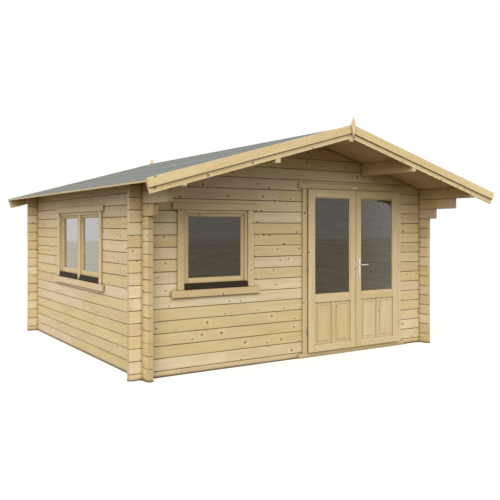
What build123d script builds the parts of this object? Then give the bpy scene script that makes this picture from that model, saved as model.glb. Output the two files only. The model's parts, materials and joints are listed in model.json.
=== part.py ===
from build123d import *
from math import cos, pi, radians, sin, tan
import os

# Garden log cabin with a gable front, a porch canopy, a double door and two windows.
# Millimetres. X runs along the front, left to right, Y from front to rear and Z up.
# The origin is the middle of the log walls' footprint, on the ground.

# Log walls
cabin_width = 4170.0
cabin_depth = 3960.0
log_height = 130.0
log_thickness = 58.0
log_edge = 6.0
log_end = 143.0
wall_courses = 16
corbel_reach = (260.0, 585.0)
corbel_round = 22.0

# Roof
roof_pitch = 15.6
front_overhang = 898.0
rear_overhang = 330.0
eaves_overhang = 345.0
roof_board = 19.0
roof_felt = 4.0
board_proud = 12.0
barge_thickness = 20.0
barge_depth = 143.0
cover_depth = 86.0
eaves_strip = 12.0
purlin_depth = 163.0
ridge_purlin_depth = 145.0
purlin_offset = 985.0
finial_width = 56.0
finial_height = 207.0
finial_shoulder = (57.0, 96.0)
finial_thickness = 20.0
finial_rise = 77.0

# Trim shared by the door and the windows
trim_thickness = 20.0
head_depth = 70.0
head_run = 62.0
seat = 0.3

# Windows
window_sill = 900.0
window_head = 1766.0
window_trim = 76.0
front_window_centre = 886.0
front_window_width = 819.0
side_window_centre = 1996.0
side_window_width = 1544.0
sill_depth = 76.0
sill_proud = 38.0
sill_run = 74.0
frame_width = 45.0
frame_shows = 35.0
frame_foot = 70.0
centre_post = 104.0
sash_bar = 26.0
sash_foot = 43.0
sash_thickness = 44.0
sash_recess = 14.0
sash_gap = 2.0
drip_nose = 12.0
glass = 4.0
glass_in_groove = 8.0

# Door
door_from_right = 1260.0
door_width = 1528.0
door_head = 2043.0
door_trim_width = 66.0
lining = 28.0
threshold = 50.0
door_gap = 5.0
meeting_gap = 7.0
leaf_thickness = 44.0
leaf_proud = 45.0
outer_stile = 98.0
meeting_stile = 85.0
top_rail = 96.0
lock_rail_low = 655.0
lock_rail_high = 747.0
bottom_rail_top = 141.0
muntin = 32.0
door_stop = 15.0
field_border = 34.0
field_rise = 5.0
field_step = 4.0
panel_tongue = 10.0

# Hinges and lock
hinge_heights = (300.0, 1060.0, 1800.0)
hinge_height = 70.0
hinge_radius = 5.5
hinge_pin = 3.5
hinge_stud = (6.0, 20.0)
pin_clearance = 0.05
barrel_sides = 16
lever_height = 1099.0
lever_backset = 56.0
lever_length = 106.0
lever_radius = 8.0
lever_stand = 48.0
spindle = 4.5
lock_plate = (32.0, 232.0, 4.0)
lock_plate_drop = 159.0

# Floor
bearer_width = 45.0
bearer_height = 45.0
bearer_count = 9
floor_board = 19.0
floor_gap = 6.0

# Places worked out from the sizes above
left = -cabin_width / 2
right = cabin_width / 2
front = -cabin_depth / 2
rear = cabin_depth / 2
wall_top = wall_courses * log_height
slope = tan(radians(roof_pitch))
canopy_front = front - front_overhang
canopy_rear = rear + rear_overhang
barge_back_front = canopy_front + 2 * barge_thickness
barge_back_rear = canopy_rear - 2 * barge_thickness
felt_top = roof_board + roof_felt
board_top = felt_top + board_proud
eaves = cabin_width / 2 + eaves_overhang
floor_top = bearer_height + floor_board
door_centre = right - door_from_right


def block(x, y, z):
    """Box between the two values of each pair."""
    size = (x[1] - x[0], y[1] - y[0], z[1] - z[0])
    centre = ((x[0] + x[1]) / 2, (y[0] + y[1]) / 2, (z[0] + z[1]) / 2)
    return Pos(*centre) * Box(*size)


def prism(outline, y):
    """Outline of (x, z) points carried from y[0] to y[1]."""
    face = Plane.XZ * Polygon(*outline, align=None)
    return Pos(0, y[0], 0) * extrude(face, amount=y[1] - y[0], dir=(0, 1, 0))


def save(name, pieces):
    """One file for a node: its separate solids."""
    solids = [solid for piece in pieces for solid in piece.solids()]
    export_step(Compound(solids), f"parts/{name}.step")


def soffit(x):
    """Height of the underside of the roof boards at x."""
    return wall_top + (cabin_width / 2 - abs(x)) * slope


# Each log is a plank with four chamfered edges. Where two walls cross, every log is
# notched a quarter of its height from above and below, so the necks stack.


def log(start, end, low, high):
    """Log along X from start to end, its outer face on y = 0."""
    t, c = log_thickness, log_edge
    section = Polygon(
        (0, low + c), (c, low), (t - c, low), (t, low + c),
        (t, high - c), (t - c, high), (c, high), (0, high - c),
        align=None,
    )
    return Pos(start, 0, 0) * extrude(Plane.YZ * section, amount=end - start)


def notches(crossings, low, high):
    """Cuts above and below a log's neck at each crossing wall."""
    cuts = []
    for x in crossings:
        width = (x - seat, x + log_thickness + seat)
        depth = (-1, log_thickness + 1)
        quarter = log_height / 4 + seat / 2
        cuts.append(block(width, depth, (high - quarter, high + log_height)))
        cuts.append(block(width, depth, (low - 1, low + quarter)))
    return cuts


def course(start, end, low, crossings, openings, rise=0.0):
    """One course of a wall: the log notched, then parted by the openings."""
    high = low + log_height
    bottom = low + seat if low > 0 else 0
    piece = log(start, end, bottom, high + rise)
    cuts = notches(crossings, low, high)
    cuts += [
        block(x, (-1, log_thickness + 1), z)
        for x, z in openings
        if z[0] < high and z[1] > bottom
    ]
    return piece - cuts


def under_roof(y):
    """The space that the roof boards close, up to their underside."""
    reach = cabin_width / 2 + log_end + 100
    return prism(
        [
            (-reach, -10),
            (reach, -10),
            (reach, soffit(reach) - seat),
            (0, soffit(0) - seat),
            (-reach, soffit(reach) - seat),
        ],
        y,
    )


def opening(centre, half, low, high):
    """Hole in the logs round a frame, as two pairs."""
    return (centre - half - seat, centre + half + seat), (low - seat, high + seat)


def window_opening(centre, width):
    margin = frame_width - frame_shows
    half = width / 2 + margin
    return opening(centre, half, window_sill, window_head + margin)


front_opening = window_opening(left + front_window_centre, front_window_width)
side_opening = window_opening(front + side_window_centre, side_window_width)
door_opening = opening(door_centre, door_width / 2 + lining, -1, door_head + lining)

purlin_places = (-purlin_offset, 0.0, purlin_offset)


def purlin_low(x):
    if x:
        return soffit(abs(x) - log_thickness / 2) - purlin_depth
    return soffit(0) - ridge_purlin_depth


purlin_openings = [
    (
        (x - log_thickness / 2 - seat, x + log_thickness / 2 + seat),
        (purlin_low(x) - seat, soffit(0) + 10),
    )
    for x in purlin_places
]


def above_bargeboard(y, top):
    """The space over the lower edge of the bargeboards, which notches what they cross."""
    reach = cabin_width / 2 + log_end + 100
    drop = (barge_depth - top + seat) / cos(radians(roof_pitch))
    return prism(
        [
            (-reach, soffit(reach) - drop),
            (0, soffit(0) - drop),
            (reach, soffit(reach) - drop),
            (reach, soffit(0) + 500),
            (-reach, soffit(0) + 500),
        ],
        y,
    )


def barge_notches():
    """Room for the inner bargeboards over purlins and top logs, at both gables."""
    return [
        above_bargeboard((canopy_front - 1, barge_back_front + seat), board_top),
        above_bargeboard((barge_back_rear - seat, canopy_rear + 1), felt_top),
    ]


def gable_wall(y, openings):
    """Solids of a wall along X, from the half log on the ground to the ridge."""
    pieces = []
    crossings = (left, right - log_thickness)
    roof = under_roof((-1, log_thickness + 1))
    low = -log_height / 2
    while low < soffit(0) - log_edge * 2:
        high = low + log_height
        cut = openings + purlin_openings
        piece = course(left - log_end, right + log_end, low, crossings, cut)
        if high > soffit(right + log_end):
            piece = piece & roof
        pieces += piece.solids()
        low = high
    return [Pos(0, y, 0) * piece for piece in pieces]


def nose(end, low):
    """What rounding takes off the lower corner of a log that ends at end."""
    r = corbel_round
    corner = block((end - 1, end + r), (-1, log_thickness + 1), (low - 1, low + r))
    centre = Pos(end + r, log_thickness / 2, low + r)
    return corner - centre * Rot(90, 0, 0) * Cylinder(r, log_thickness + 4)


def side_wall(x, openings):
    """Solids of a wall along Y, with the corbelled logs that carry the canopy."""
    pieces = []
    crossings = (front, rear - log_thickness)
    turn = Pos(x + log_thickness, 0, 0) * Rot(0, 0, 90)
    roof = under_roof((canopy_front, canopy_rear))
    reach_front = [log_end] * (wall_courses - 3) + list(corbel_reach)
    reach_front += [front_overhang - barge_thickness]
    reach_rear = [log_end] * (wall_courses - 1) + [rear_overhang - barge_thickness]
    for index in range(wall_courses):
        low = index * log_height
        start = front - reach_front[index]
        end = rear + reach_rear[index]
        top = index == wall_courses - 1
        rise = log_thickness * slope + log_edge if top else 0.0
        piece = course(start, end, low, crossings, openings, rise)
        if index >= wall_courses - 3:
            piece = piece - nose(start, low)
        piece = turn * piece
        if top:
            piece = (piece & roof) - barge_notches()
        pieces += piece.solids()
    return pieces


def build_walls():
    front_pieces = gable_wall(front, [front_opening, door_opening])
    above_door = door_opening[1][1]
    over, beside_left, beside_right = [], [], []
    for piece in front_pieces:
        box = piece.bounding_box()
        if box.max.Z > above_door:
            over.append(piece)
        elif box.center().X < door_centre:
            beside_left.append(piece)
        else:
            beside_right.append(piece)
    save("front_wall_left", beside_left)
    save("front_wall_right", beside_right)
    save("front_gable", over)
    save("rear_wall", gable_wall(rear - log_thickness, []))
    save("left_wall", side_wall(left, [side_opening]))
    save("right_wall", side_wall(right - log_thickness, []))


def eaves_point(side, back, height):
    """Point at height above the soffit, back up the slope from the eaves' edge."""
    a = radians(roof_pitch)
    x = eaves - back * cos(a) + height * sin(a)
    return side * x, soffit(eaves) + back * sin(a) + height * cos(a)


def slope_outline(side, low, high, back):
    """Slab on one roof slope between heights low and high above the soffit.

    The lower end is cut square at the eaves, the upper end is plumb at the ridge.
    """
    a = radians(roof_pitch)
    top = soffit(seat / 2)
    return [
        (side * seat / 2, top + low / cos(a)),
        (side * seat / 2, top + high / cos(a)),
        eaves_point(side, back, high),
        eaves_point(side, back, low),
    ]


def build_roof():
    board_y = (barge_back_front + seat, barge_back_rear - seat)
    for name, side in (("left", -1), ("right", 1)):
        boards = slope_outline(side, 0, roof_board, eaves_strip + seat)
        save(f"roof_boards_{name}", [prism(boards, board_y)])
        felt = slope_outline(side, roof_board + seat, felt_top, 0)
        save(f"roof_felt_{name}", [prism(felt, board_y)])
        strip = [
            eaves_point(side, 0, 0),
            eaves_point(side, 0, roof_board),
            eaves_point(side, eaves_strip, roof_board),
            eaves_point(side, eaves_strip, 0),
        ]
        save(f"eaves_strip_{name}", [prism(strip, board_y)])
        gables = (
            ("front", canopy_front, 1, board_top),
            ("rear", canopy_rear, -1, felt_top),
        )
        for end, face, inward, top in gables:
            barge = slope_outline(side, top - barge_depth, top, -seat)
            cover = slope_outline(side, top - cover_depth, top, -seat)
            middle = face + inward * barge_thickness
            back = face + inward * 2 * barge_thickness
            outer = sorted((face, middle - inward * seat))
            inner = sorted((middle, back))
            save(f"{end}_bargeboard_{name}", [prism(barge, inner)])
            save(f"{end}_cover_board_{name}", [prism(cover, outer)])


def finial(face, inward):
    """Kite on the joint of the cover boards, its long point down."""
    half = finial_width / 2
    top = soffit(0) + board_top + finial_rise
    upper, lower = (top - drop for drop in finial_shoulder)
    outline = [
        (0, top), (half, upper), (half, lower),
        (0, top - finial_height), (-half, lower), (-half, upper),
    ]
    near = face - inward * seat
    far = near - inward * finial_thickness
    return prism(outline, sorted((near, far)))


def build_purlins():
    for name, x in zip(("left", "ridge", "right"), purlin_places):
        half = log_thickness / 2
        beam = block(
            (x - half, x + half),
            (canopy_front + barge_thickness, canopy_rear - barge_thickness),
            (purlin_low(x), soffit(0) + 5),
        )
        roof = under_roof((canopy_front, canopy_rear))
        save(f"{name}_purlin", [(beam & roof) - barge_notches()])


def bars(x, z, y, widths):
    """Four bars round an opening: stiles full height, rails between them."""
    side, foot, head = widths
    return [
        block((x[0], x[0] + side), y, z),
        block((x[1] - side, x[1]), y, z),
        block((x[0] + side + seat, x[1] - side - seat), y, (z[0], z[0] + foot)),
        block((x[0] + side + seat, x[1] - side - seat), y, (z[1] - head, z[1])),
    ]


def drip(span):
    """Sloping sill bar under a sash, between the trim boards."""
    section = Polygon(
        (-seat, window_sill + seat),
        (-trim_thickness, window_sill + seat),
        (-trim_thickness, window_sill + seat + drip_nose),
        (-seat, window_sill + frame_foot),
        align=None,
    )
    bar = extrude(Plane.YZ * section, amount=span[1] - span[0], dir=(1, 0, 0))
    return Pos(span[0], 0, 0) * bar


def window(name, place, width, lights):
    """A window set in its hole, with x along the wall and y inwards."""
    half = width / 2
    low, high = window_sill, window_head
    inner = half - frame_shows
    outer = inner + frame_width
    depth = (0, log_thickness)
    frame_top = (high - frame_shows, high - frame_shows + frame_width)
    frame = [
        block((-outer, -inner), depth, (low, frame_top[1])),
        block((inner, outer), depth, (low, frame_top[1])),
        block((-inner + seat, inner - seat), depth, frame_top),
        block((-inner + seat, inner - seat), depth, (low, low + frame_foot)),
    ]
    trim = []
    reach = half + window_trim
    inside = (log_thickness + seat, log_thickness + seat + trim_thickness)
    for y, sill_y in (
        ((-trim_thickness - seat, -seat), (-sill_proud - seat, -seat)),
        (inside, inside),
    ):
        head = (-reach - head_run, reach + head_run)
        sill = (-reach - sill_run, reach + sill_run)
        trim += [
            block((-reach, -half), y, (low + seat, high - seat)),
            block((half, reach), y, (low + seat, high - seat)),
            block(head, y, (high, high + head_depth)),
            block(sill, sill_y, (low - sill_depth, low)),
        ]
    if lights == 1:
        spans = [(-inner, inner)]
        drips = [drip((-half + seat, half - seat))]
    else:
        post = centre_post / 2
        spans = [(-inner, -post), (post, inner)]
        drips = [drip((-half + seat, -post)), drip((post, half - seat))]
        frame.append(
            block((-post, post), depth, (low + frame_foot + seat, frame_top[0] - seat))
        )
    sash_y = (sash_recess, sash_recess + sash_thickness)
    middle = sum(sash_y) / 2
    sash_low = low + frame_foot + seat
    sash, panes = [], []
    for start, end in spans:
        span = (start + sash_gap, end - sash_gap)
        sash_z = (sash_low, frame_top[0] - sash_gap)
        edge = sash_bar - glass_in_groove
        pane_x = (span[0] + edge, span[1] - edge)
        pane_z = (sash_low + sash_foot - glass_in_groove, sash_z[1] - edge)
        pane_y = (middle - glass / 2, middle + glass / 2)
        panes.append(block(pane_x, pane_y, pane_z))
        groove = block(
            (pane_x[0] - seat, pane_x[1] + seat),
            (pane_y[0] - seat, pane_y[1] + seat),
            (pane_z[0] - seat, pane_z[1] + seat),
        )
        widths = (sash_bar, sash_foot, sash_bar)
        sash += [bar - groove for bar in bars(span, sash_z, sash_y, widths)]
    for part, pieces in (
        ("frame", frame), ("trim", trim), ("sash", sash), ("glass", panes), ("drip_bar", drips)
    ):
        save(f"{name}_window_{part}", [place * piece for piece in pieces])


def build_windows():
    front_place = Pos(left + front_window_centre, front, 0)
    window("front", front_place, front_window_width, 1)
    side_place = Pos(left, front + side_window_centre, 0) * Rot(0, 0, -90)
    window("side", side_place, side_window_width, 2)


# The door is worked out about its own middle, with y = 0 on the logs' outer face.
leaf_front = -leaf_proud
leaf_back = leaf_front + leaf_thickness
leaf_low = threshold + door_gap
leaf_high = door_head - door_gap
leaf_width = (door_width - 2 * door_gap - meeting_gap) / 2
hinge_x = door_width / 2 - door_gap + hinge_radius + seat
hinge_y = leaf_front + hinge_radius
hinge_bore = (hinge_pin + pin_clearance) / cos(pi / barrel_sides)


def door_frame():
    half = door_width / 2
    depth = (0, log_thickness)
    stop_y = (leaf_back + door_gap, log_thickness)
    pieces = []
    foot = threshold + seat
    for side in (-1, 1):
        post = sorted((side * half, side * (half + lining)))
        stop = sorted((side * half, side * (half - door_stop)))
        jamb = block(post, depth, (foot, door_head + lining))
        jamb += block(stop, stop_y, (foot, door_head))
        pieces.append(jamb)
    head = block((-half + seat, half - seat), depth, (door_head, door_head + lining))
    inner = half - door_stop - seat
    head += block((-inner, inner), stop_y, (door_head - door_stop, door_head))
    pieces.append(head)
    return pieces


def door_threshold():
    half = door_width / 2
    reach = half + door_trim_width + head_run
    tread = block((-half - lining, half + lining), (-seat, log_thickness), (0, threshold))
    tread += block((-reach, reach), (-trim_thickness - seat, -seat), (0, threshold))
    inner = half - door_stop - seat
    stop_y = (leaf_back + door_gap, log_thickness)
    return tread + block((-inner, inner), stop_y, (threshold, floor_top))


def door_trim():
    half = door_width / 2
    reach = half + door_trim_width
    head = (-reach - head_run, reach + head_run)
    pieces = []
    for y, low in (
        ((-trim_thickness - seat, -seat), threshold),
        ((log_thickness + seat, log_thickness + seat + trim_thickness), floor_top),
    ):
        pieces += [
            block((-reach, -half), y, (low + seat, door_head - seat)),
            block((half, reach), y, (low + seat, door_head - seat)),
            block(head, y, (door_head, door_head + head_depth)),
        ]
    return pieces


def panel(x, z):
    """Raised and fielded panel: a thin tongue all round, a bevel and a step up."""
    y = (leaf_front + leaf_back) / 2
    plate = block(
        (x[0] - glass_in_groove, x[1] + glass_in_groove),
        (y - panel_tongue / 2, y + panel_tongue / 2),
        (z[0] - glass_in_groove, z[1] + glass_in_groove),
    )
    width, height = x[1] - x[0] - 2, z[1] - z[0] - 2
    border = field_border
    bevel = Wedge(
        width, field_rise, height, border, border, width - border, height - border,
        align=(Align.CENTER, Align.MIN, Align.CENTER),
    )
    bevel = Pos(0, panel_tongue / 2, 0) * bevel
    thick = panel_tongue + 2 * (field_rise + field_step)
    crown = Box(width - 2 * border, thick, height - 2 * border)
    centre = Pos((x[0] + x[1]) / 2, y, (z[0] + z[1]) / 2)
    return plate + centre * crown + [centre * bevel, centre * Rot(0, 0, 180) * bevel]


def leaf(name, side):
    """One door leaf, hinged at side * hinge_x and shut against the other."""
    outer = side * (door_width / 2 - door_gap)
    x = sorted((outer, outer - side * leaf_width))
    stiles = (outer_stile, meeting_stile)[:: -side]
    y = (leaf_front, leaf_back)
    inner = (x[0] + stiles[0] + seat, x[1] - stiles[1] - seat)
    pieces = [
        block((x[0], x[0] + stiles[0]), y, (leaf_low, leaf_high)),
        block((x[1] - stiles[1], x[1]), y, (leaf_low, leaf_high)),
        block(inner, y, (leaf_low, bottom_rail_top)),
        block(inner, y, (lock_rail_low, lock_rail_high)),
        block(inner, y, (leaf_high - top_rail, leaf_high)),
    ]
    middle = (inner[0] + inner[1]) / 2
    bar = (middle - muntin / 2, middle + muntin / 2)
    pieces.append(block(bar, y, (bottom_rail_top + seat, lock_rail_low - seat)))
    pane_y = (sum(y) / 2 - glass / 2, sum(y) / 2 + glass / 2)
    pane = block(
        (inner[0] - seat - glass_in_groove, inner[1] + seat + glass_in_groove),
        pane_y,
        (lock_rail_high - glass_in_groove, leaf_high - top_rail + glass_in_groove),
    )
    grooves = [grown(pane)]
    panels = []
    for span in ((inner[0] - seat, bar[0]), (bar[1], inner[1] + seat)):
        one = panel(span, (bottom_rail_top, lock_rail_low))
        panels.append(one)
        grooves.append(
            grown(block(
                (span[0] - glass_in_groove, span[1] + glass_in_groove),
                (sum(y) / 2 - panel_tongue / 2, sum(y) / 2 + panel_tongue / 2),
                (bottom_rail_top - glass_in_groove, lock_rail_low + glass_in_groove),
            ))
        )
    pieces = [piece - grooves for piece in pieces]
    if side > 0:
        bore = Pos(lock_x, 0, lever_height) * Rot(90, 0, 0)
        bore = bore * Cylinder(spindle + 1, leaf_thickness * 3)
        pieces = [piece - bore for piece in pieces]
    place = Pos(door_centre, front, 0)
    save(f"{name}_leaf", [place * piece for piece in pieces])
    save(f"{name}_panels", [place * piece for piece in panels])
    save(f"{name}_glass", [place * pane])


def grown(shape):
    """Box round shape with the seat's clearance on every side."""
    box = shape.bounding_box()
    return block(
        (box.min.X - seat, box.max.X + seat),
        (box.min.Y - seat, box.max.Y + seat),
        (box.min.Z - seat, box.max.Z + seat),
    )


lock_x = meeting_gap / 2 + lever_backset


def rod(radius, length):
    """Upright rod of few sides, with its corners on the radius."""
    return Pos(0, 0, -length / 2) * extrude(RegularPolygon(radius, barrel_sides), amount=length)


def hinge(side):
    """Lift-off hinges: a lower barrel with its pin on the trim, an upper one on the leaf."""
    half = hinge_height / 2
    turn = Pos(side * hinge_x, hinge_y, 0)
    width, height = hinge_stud
    back = -trim_thickness - seat - seat - hinge_y
    pins, sockets = [], []
    for middle in hinge_heights:
        pin = Pos(0, 0, middle) * rod(hinge_pin, hinge_height - 4)
        barrel = Pos(0, 0, middle - half / 2) * rod(hinge_radius, half - seat)
        low = middle - half / 2 - height / 2
        stud = block((-width / 2, width / 2), (0, back), (low, low + height))
        pins.append(turn * (pin + barrel + stud))
        bore = Pos(0, 0, middle) * rod(hinge_bore, hinge_height - 3)
        barrel = Pos(0, 0, middle + half / 2) * rod(hinge_radius, half - seat)
        sockets.append(turn * (barrel - bore))
    return pins, sockets


def lock_plates():
    width, height, thickness = lock_plate
    plates = []
    low = lever_height - lock_plate_drop
    for y in ((leaf_front - seat - thickness, leaf_front - seat),
              (leaf_back + seat, leaf_back + seat + thickness)):
        plate = block((lock_x - width / 2, lock_x + width / 2), y, (low, low + height))
        bore = Pos(lock_x, 0, lever_height) * Rot(90, 0, 0)
        plates.append(plate - bore * Cylinder(spindle + 1, leaf_thickness * 3))
    return plates


def lever():
    """Spindle through the leaf with a lever at each end."""
    near = leaf_front - lever_stand
    far = leaf_back + lever_stand
    centre = Pos(lock_x, 0, lever_height)
    bar = centre * Pos(0, (near + far) / 2, 0) * Rot(90, 0, 0) * Cylinder(spindle, far - near)
    handles = []
    for y in (near, far):
        grip = Pos(lever_length / 2, y, 0) * Rot(0, 90, 0) * Cylinder(lever_radius, lever_length)
        handles.append(centre * grip)
    return bar + handles


def build_door():
    place = Pos(door_centre, front, 0)
    save("door_frame", [place * piece for piece in door_frame()])
    save("door_threshold", [place * door_threshold()])
    save("door_trim", [place * piece for piece in door_trim()])
    leaf("left_door", -1)
    leaf("right_door", 1)
    for name, side in (("left", -1), ("right", 1)):
        pins, sockets = hinge(side)
        save(f"{name}_hinge_pins", [place * piece for piece in pins])
        save(f"{name}_hinge_knuckles", [place * piece for piece in sockets])
    save("lock_plates", [place * piece for piece in lock_plates()])
    save("lever_handle", [place * lever()])


def build_floor():
    x0, x1 = left + log_thickness, right - log_thickness
    y0, y1 = front + log_thickness, rear - log_thickness
    pitch = (x1 - x0 - bearer_width - 2 * floor_gap) / (bearer_count - 1)
    bearers = []
    for index in range(bearer_count):
        x = x0 + floor_gap + index * pitch
        bearers.append(
            block((x, x + bearer_width), (y0 + seat, y1 - seat), (0, bearer_height - seat))
        )
    save("floor_bearers", bearers)
    boards = block((x0 + seat, x1 - seat), (y0 + seat, y1 - seat), (bearer_height, floor_top))
    save("floor_boards", [boards])


os.makedirs("parts", exist_ok=True)
build_walls()
build_roof()
save("front_finial", [finial(canopy_front, 1)])
save("rear_finial", [finial(canopy_rear, -1)])
build_purlins()
build_windows()
build_door()
build_floor()
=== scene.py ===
import bmesh
import bpy
import json
import math
import numpy as np
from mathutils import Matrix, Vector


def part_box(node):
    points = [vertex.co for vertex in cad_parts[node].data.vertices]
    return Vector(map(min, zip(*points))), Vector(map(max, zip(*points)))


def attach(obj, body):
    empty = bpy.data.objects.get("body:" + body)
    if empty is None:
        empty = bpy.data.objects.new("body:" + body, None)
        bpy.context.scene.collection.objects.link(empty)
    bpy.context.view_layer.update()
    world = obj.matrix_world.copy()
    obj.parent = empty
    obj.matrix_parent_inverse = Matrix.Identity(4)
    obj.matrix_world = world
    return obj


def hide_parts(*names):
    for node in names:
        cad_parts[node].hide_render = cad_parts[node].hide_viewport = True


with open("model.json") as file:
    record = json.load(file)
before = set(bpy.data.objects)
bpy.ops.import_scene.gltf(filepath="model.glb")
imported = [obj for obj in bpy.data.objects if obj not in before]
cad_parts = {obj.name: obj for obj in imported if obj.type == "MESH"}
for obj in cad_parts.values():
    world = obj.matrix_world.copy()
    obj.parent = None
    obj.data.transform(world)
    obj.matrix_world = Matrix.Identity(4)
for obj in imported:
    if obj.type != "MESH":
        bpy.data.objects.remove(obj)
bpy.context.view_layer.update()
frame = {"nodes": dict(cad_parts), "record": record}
nodes = frame["nodes"]
scene = bpy.context.scene
scene.view_settings.view_transform = "Standard"

# Place and light. The cabin stands on plain white paper under an even sky and a wide soft
# lamp at the front left. The view is from the left front, by someone 1.7 m tall.

eye = bpy.data.objects.new("eye", bpy.data.cameras.new("eye"))
eye.location = (-4.8636, -8.2620, 1.5868)
eye.rotation_euler = (math.radians(90), 0, math.radians(-33.19))
eye.data.sensor_width = 36
eye.data.lens = 47.21
eye.data.shift_y = -0.04736
scene.collection.objects.link(eye)
scene.camera = eye


def linear(colour):
    """Linear RGBA of an sRGB hex value."""
    channels = np.array([int(colour[i:i + 2], 16) for i in (1, 3, 5)]) / 255
    low, high = channels / 12.92, ((channels + 0.055) / 1.055) ** 2.4
    return (*np.where(channels <= 0.04045, low, high).tolist(), 1.0)


def add(tree, kind, feeds, **settings):
    """One node with its settings. Its inputs are fed values or other nodes' outputs."""
    node = tree.nodes.new(kind)
    for name, value in settings.items():
        setattr(node, name, value)
    for key, value in feeds.items():
        if isinstance(value, bpy.types.Node):
            value = value.outputs[0]
        if isinstance(value, bpy.types.NodeSocket):
            tree.links.new(value, node.inputs[key])
        else:
            node.inputs[key].default_value = value
    return node


def begin(name):
    """New material, with its node tree and its Principled surface."""
    material = bpy.data.materials.new(name)
    material.use_nodes = True
    return material, material.node_tree, material.node_tree.nodes["Principled BSDF"]


def seen_directly(tree):
    """1 for what the camera, a mirror or a pane shows, and 0 for light on the object."""
    rays = add(tree, "ShaderNodeLightPath", {}).outputs
    mirrored = add(tree, "ShaderNodeMath", {0: rays["Is Glossy Ray"],
                   1: rays["Is Transmission Ray"]}, operation="MAXIMUM")
    return add(tree, "ShaderNodeMath", {0: rays["Is Camera Ray"], 1: mirrored},
               operation="MAXIMUM")


sky = bpy.data.worlds.new("sky")
scene.world = sky
sky.use_nodes = True
tree = sky.node_tree
glare = add(tree, "ShaderNodeMapRange", {0: seen_directly(tree), 3: 0.95, 4: 1.0})
tree.links.new(glare.outputs[0], tree.nodes["Background"].inputs["Strength"])
tree.nodes["Background"].inputs["Color"].default_value = (1, 1, 1, 1)

sun = bpy.data.objects.new("sun", bpy.data.lights.new("sun", "SUN"))
sun.data.energy = 2.7
sun.data.angle = math.radians(60)
sun.rotation_euler = (math.radians(53), 0, math.radians(-41))
scene.collection.objects.link(sun)

reach = 60.0
sheet = bpy.data.meshes.new("paper")
sheet.from_pydata([(-reach, -reach, 0), (reach, -reach, 0), (reach, reach, 0),
                   (-reach, reach, 0)], [], [(0, 1, 2, 3)])
paper = bpy.data.objects.new("paper", sheet)
scene.collection.objects.link(paper)

# Matt paper: white to the eye, with the cabin's shadow on it and a painted shadow line
# along the foot of the logs, but dull to the light that strikes it, so that little comes
# back up.
white, tree, surface = begin("white_paper")
shade = add(tree, "ShaderNodeMix", {0: seen_directly(tree), 6: linear("#3E3122"),
            7: linear("#CAC4B8")}, data_type="RGBA")
# Painted shadow: ambient occlusion darkens the paper and its glow within 50 mm of the logs.
painted_contact_shadow = add(tree, "ShaderNodeAmbientOcclusion", {"Distance": 0.05}, samples=8)
painted_contact_shadow = add(tree, "ShaderNodeMapRange", {0: painted_contact_shadow.outputs["AO"], 1: 0.55, 2: 0.85,
              3: 0.15, 4: 1.0})
shade = add(tree, "ShaderNodeVectorMath", {0: shade.outputs[2], 1: painted_contact_shadow},
            operation="MULTIPLY")
glow = add(tree, "ShaderNodeLightPath", {}).outputs["Is Camera Ray"]
glow = add(tree, "ShaderNodeMath", {0: glow, 1: 0.5}, operation="MULTIPLY")
glow = add(tree, "ShaderNodeMath", {0: glow, 1: painted_contact_shadow}, operation="MULTIPLY")
tree.links.new(shade.outputs[0], surface.inputs["Base Color"])
tree.links.new(glow.outputs[0], surface.inputs["Emission Strength"])
surface.inputs["Emission Color"].default_value = (1, 1, 1, 1)
surface.inputs["Roughness"].default_value = 0.9
surface.inputs["Specular IOR Level"].default_value = 0.0
sheet.materials.append(white)

# Floor. Planed pine boards, tongued together and nailed over square bearers that lie on
# the ground. What shows of it is seen through the glass and the open door.


def wood_place(tree, along, row, pitch, shift, tilt, seed):
    """Where a point of a CAD timber lies in its tree, from Object coordinates leant by
    tilt: along the grain, moved by up to 31 m for each step of pitch on the axis row,
    then across and through. Gives that place, the timber's lot, the lot of each 2.3 m
    length of it, how far it faces along the grain, and how far off the nearest joint is.
    The ground counts as one, at 0.3 of its distance."""
    across = "Z" if along != "Z" else "X"
    through = ({"X", "Y", "Z"} - {along, across}).pop()
    where = add(tree, "ShaderNodeTexCoord", {})
    leant = add(tree, "ShaderNodeMapping",
                {"Vector": where.outputs["Object"], "Rotation": (0, tilt, 0)})
    axes = add(tree, "ShaderNodeSeparateXYZ", {0: leant}).outputs
    step = add(tree, "ShaderNodeMath", {0: axes[row], 1: shift + 1e-4}, operation="ADD")
    step = add(tree, "ShaderNodeMath", {0: step, 1: pitch}, operation="DIVIDE")
    off = add(tree, "ShaderNodeMath", {0: step}, operation="FRACT")
    off = add(tree, "ShaderNodeMath", {0: off, 1: 0.5}, operation="SUBTRACT")
    off = add(tree, "ShaderNodeMath", {0: off}, operation="ABSOLUTE")
    joint = add(tree, "ShaderNodeMapRange", {0: off, 1: 0.0, 2: 0.5, 3: pitch / 2,
                4: 0.0})
    foot = add(tree, "ShaderNodeMath", {0: axes["Z"], 1: 0.3}, operation="MULTIPLY")
    joint = add(tree, "ShaderNodeMath", {0: joint, 1: foot}, operation="MINIMUM")
    step = add(tree, "ShaderNodeMath", {0: step}, operation="FLOOR")
    step = add(tree, "ShaderNodeMath", {0: step, 1: seed + 0.37}, operation="ADD")
    lot = add(tree, "ShaderNodeTexWhiteNoise", {"W": step}, noise_dimensions="1D")
    moved = add(tree, "ShaderNodeMath", {0: lot, 1: 31.0, 2: axes[along]},
                operation="MULTIPLY_ADD")
    length = add(tree, "ShaderNodeMath", {0: moved, 1: 2.3}, operation="DIVIDE")
    length = add(tree, "ShaderNodeMath", {0: length}, operation="FLOOR")
    length = add(tree, "ShaderNodeCombineXYZ", {0: length, 1: step})
    tone = add(tree, "ShaderNodeTexWhiteNoise", {"Vector": length},
               noise_dimensions="2D")
    place = add(tree, "ShaderNodeCombineXYZ", {0: moved, 1: axes[across],
                2: axes[through]})
    facing = add(tree, "ShaderNodeSeparateXYZ", {0: where.outputs["Normal"]})
    return place, lot, tone, facing.outputs[along], joint


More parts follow.
